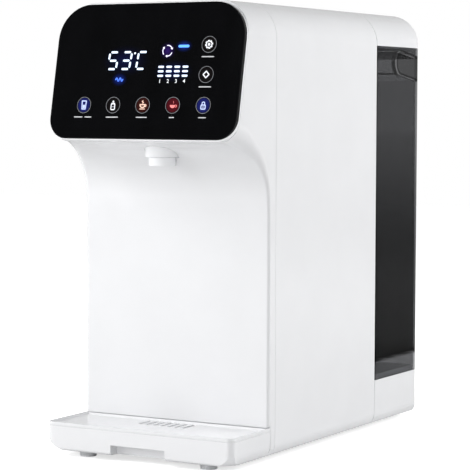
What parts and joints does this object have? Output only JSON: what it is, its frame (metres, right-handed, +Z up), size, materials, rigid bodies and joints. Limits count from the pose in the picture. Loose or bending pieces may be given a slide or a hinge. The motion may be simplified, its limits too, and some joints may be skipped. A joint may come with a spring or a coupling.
{
  "type": "countertop water purifier",
  "caption": "Countertop hot-water purifier with a leaning touch panel over a cup niche, a pull-out drip tray, inner filters and a lift-off smoked water tank.",
  "frame": {"origin": "middle of the footprint, on the surface that the feet stand on", "axes": "+Z up; +X to the right-hand side seen from the front; the panel and the drip tray face -Y and the water tank is at +Y"},
  "size_m": [0.19, 0.372, 0.4],
  "materials": {
    "white": "glossy white moulding",
    "black_glass": "polished black touch glass",
    "black_plastic": "fine matt black",
    "smoke": "clear smoked grey, polished",
    "grey_plastic": "moulded matt grey",
    "filter_white": "moulded satin white",
    "filter_blue": "moulded satin blue",
    "steel": "plain steel",
    "aluminium": "cast, plain",
    "rubber": "matt pale grey",
    "silicone": "milky, satin",
    "board_green": "solder-masked circuit board"
  },
  "bodies": {
    "body": {"front_housing": "white", "middle_shell": "white", "rear_dock": "white", "spout_arm": "white", "nozzle": "white", "glass_panel": "black_glass", "panel_backing": "black_plastic", "display_board": "board_green", "base_chassis": "grey_plastic", "rear_bulkhead": "grey_plastic", "foot_front_left": "rubber", "foot_front_right": "rubber", "foot_rear_left": "rubber", "foot_rear_right": "rubber", "base_screw_1": "steel", "base_screw_2": "steel", "base_screw_3": "steel", "base_screw_4": "steel", "base_screw_5": "steel", "dock_port": "grey_plastic", "power_inlet": "black_plastic", "filter_cradle": "grey_plastic", "filter_head": "grey_plastic", "solenoid_valve": "filter_white", "solenoid_coil": "black_plastic", "pump_bracket": "grey_plastic", "pump_motor": "steel", "pump_head": "black_plastic", "heater_bracket": "grey_plastic", "heater_body": "aluminium", "flow_sensor": "black_plastic", "thermal_cutout": "black_plastic", "board_carrier": "grey_plastic", "control_board": "board_green", "power_supply": "black_plastic", "tank_hose": "silicone", "pump_hose": "silicone", "clean_hose": "silicone", "hot_hose": "silicone", "panel_cable": "black_plastic", "power_cable": "black_plastic"},
    "tank": {"water_tank": "smoke", "valve_body": "filter_white", "valve_seal": "silicone", "valve_cap": "filter_white", "valve_spring": "steel"},
    "lid": {"tank_lid": "white"},
    "valve": {"valve_poppet": "filter_white"},
    "tray": {"drip_tray": "white"},
    "plate": {"drip_plate": "white"},
    "carbon_cartridge": {"carbon_filter": "filter_white"},
    "membrane_cartridge": {"membrane_filter": "filter_blue"}
  },
  "joints": [
    {"name": "tank_lift", "type": "slide", "parent": "body", "child": "tank", "axis": [0, 0, 1], "range_m": [0, 0.34]},
    {"name": "lid_lift", "type": "slide", "parent": "tank", "child": "lid", "axis": [0, 0, 1], "range_m": [0, 0.06]},
    {"name": "valve_open", "type": "slide", "parent": "tank", "child": "valve", "axis": [0, 0, 1], "range_m": [0, 0.004], "stiffness_N_per_m": 150, "springref_m": -0.01, "deforming": ["valve_spring"]},
    {"name": "tray_pull", "type": "slide", "parent": "body", "child": "tray", "axis": [0, -1, 0], "range_m": [0, 0.09]},
    {"name": "plate_lift", "type": "slide", "parent": "tray", "child": "plate", "axis": [0, 0, 1], "range_m": [0, 0.05]},
    {"name": "carbon_filter_twist", "type": "hinge", "parent": "body", "child": "carbon_cartridge", "pos_m": [-0.04403, 0.046, 0.0121], "axis": [0, 0, 1], "range_deg": [0, 60]},
    {"name": "membrane_filter_twist", "type": "hinge", "parent": "body", "child": "membrane_cartridge", "pos_m": [-0.04403, -0.022, 0.0121], "axis": [0, 0, 1], "range_deg": [0, 60]}
  ]
}
